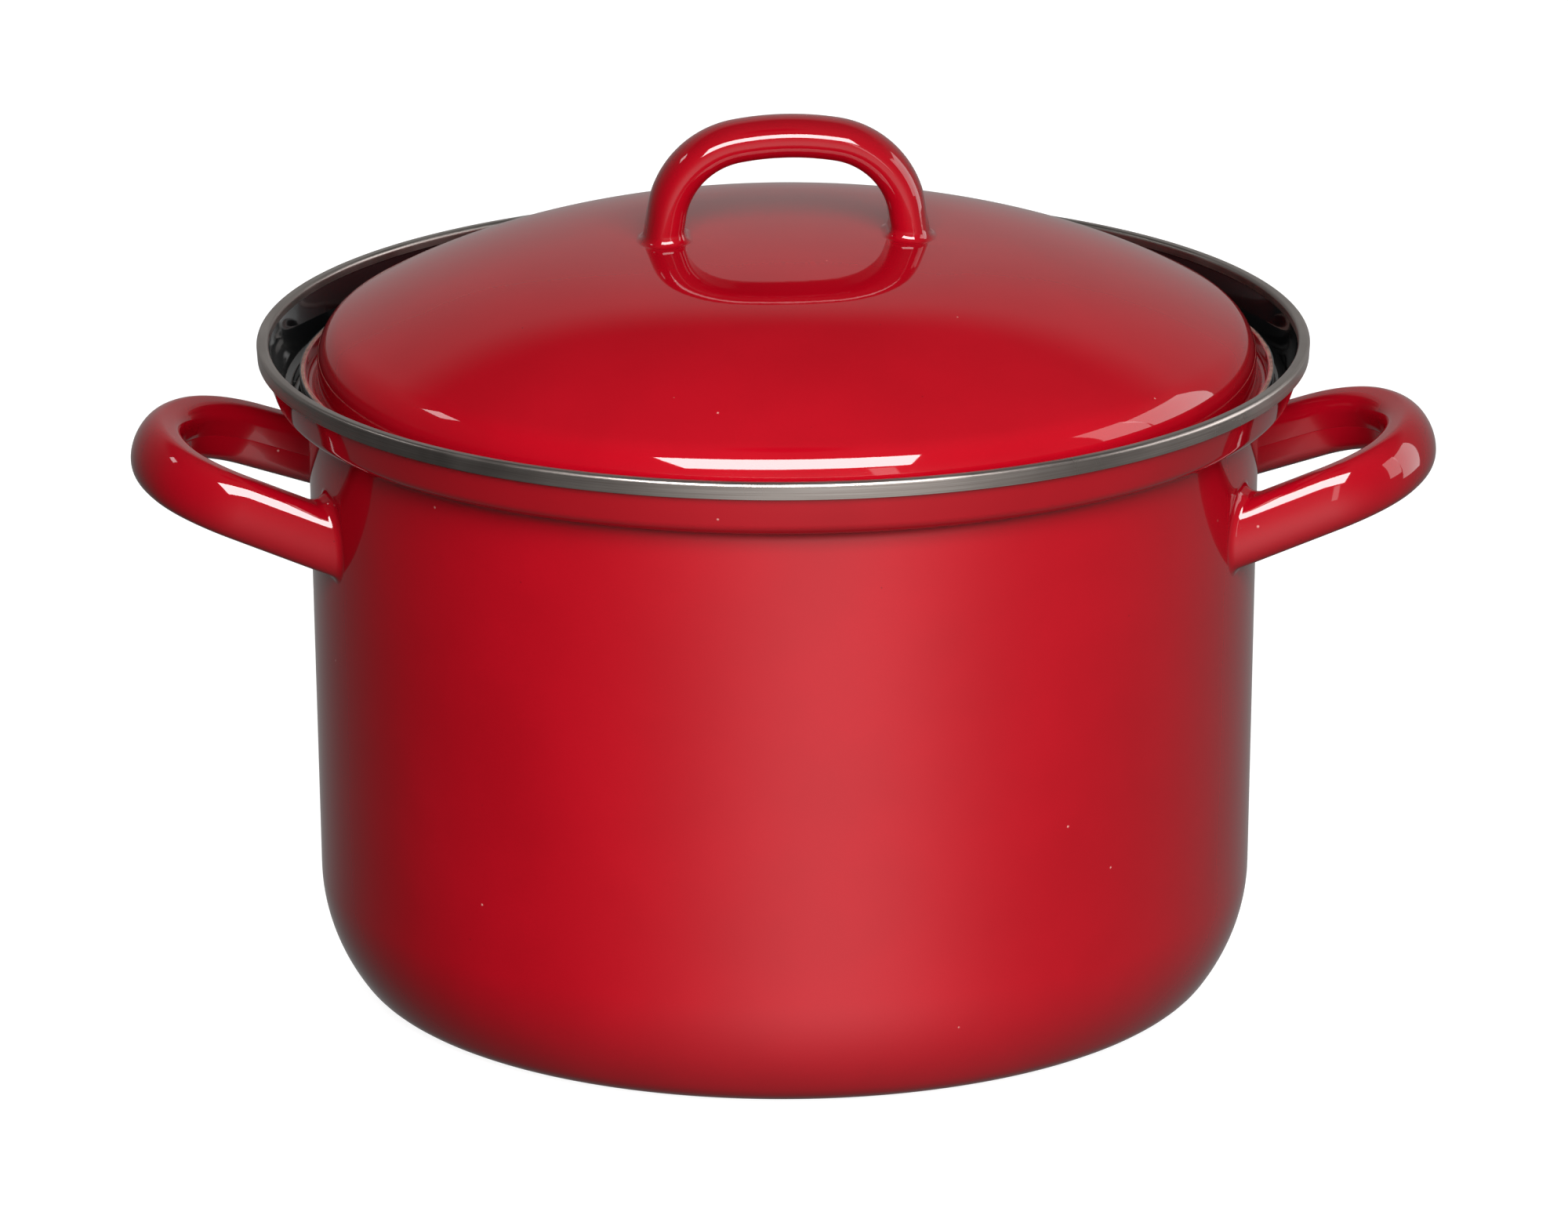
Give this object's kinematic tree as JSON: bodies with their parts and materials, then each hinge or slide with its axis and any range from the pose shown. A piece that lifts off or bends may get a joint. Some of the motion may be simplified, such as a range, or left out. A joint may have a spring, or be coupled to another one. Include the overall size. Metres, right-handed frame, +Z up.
{
  "type": "stock pot",
  "caption": "Red enamelled steel stock pot, black inside, with a steel rim band, looped side handles and a domed lid that lifts off by an arched handle.",
  "frame": {"origin": "middle of the flat base, on the pot's axis, at the height the pot stands on", "axes": "+X along the line through both side handles, towards the right-hand one; +Z up through the lid; +Y away from the viewer"},
  "size_m": [0.322, 0.26, 0.221],
  "materials": {
    "red_enamel": "glossy vitreous enamel",
    "black_enamel": "glossy vitreous enamel",
    "bare_steel": "unpolished sheet, seen only at the cut edge",
    "stainless": "satin"
  },
  "bodies": {
    "pot": {"pot_shell": "bare_steel", "pot_outer_enamel": "red_enamel", "pot_inner_enamel": "black_enamel", "rim_band": "stainless", "side_handle_left": "red_enamel", "side_handle_left_welds": "red_enamel", "side_handle_right": "red_enamel", "side_handle_right_welds": "red_enamel"},
    "lid": {"lid_shell": "bare_steel", "lid_top_enamel": "red_enamel", "lid_under_enamel": "black_enamel", "lid_handle": "red_enamel", "lid_handle_welds": "red_enamel"}
  },
  "joints": [
    {"name": "lid_lift", "type": "slide", "parent": "pot", "child": "lid", "axis": [0, 0, 1], "range_m": [0, 0.08]}
  ]
}
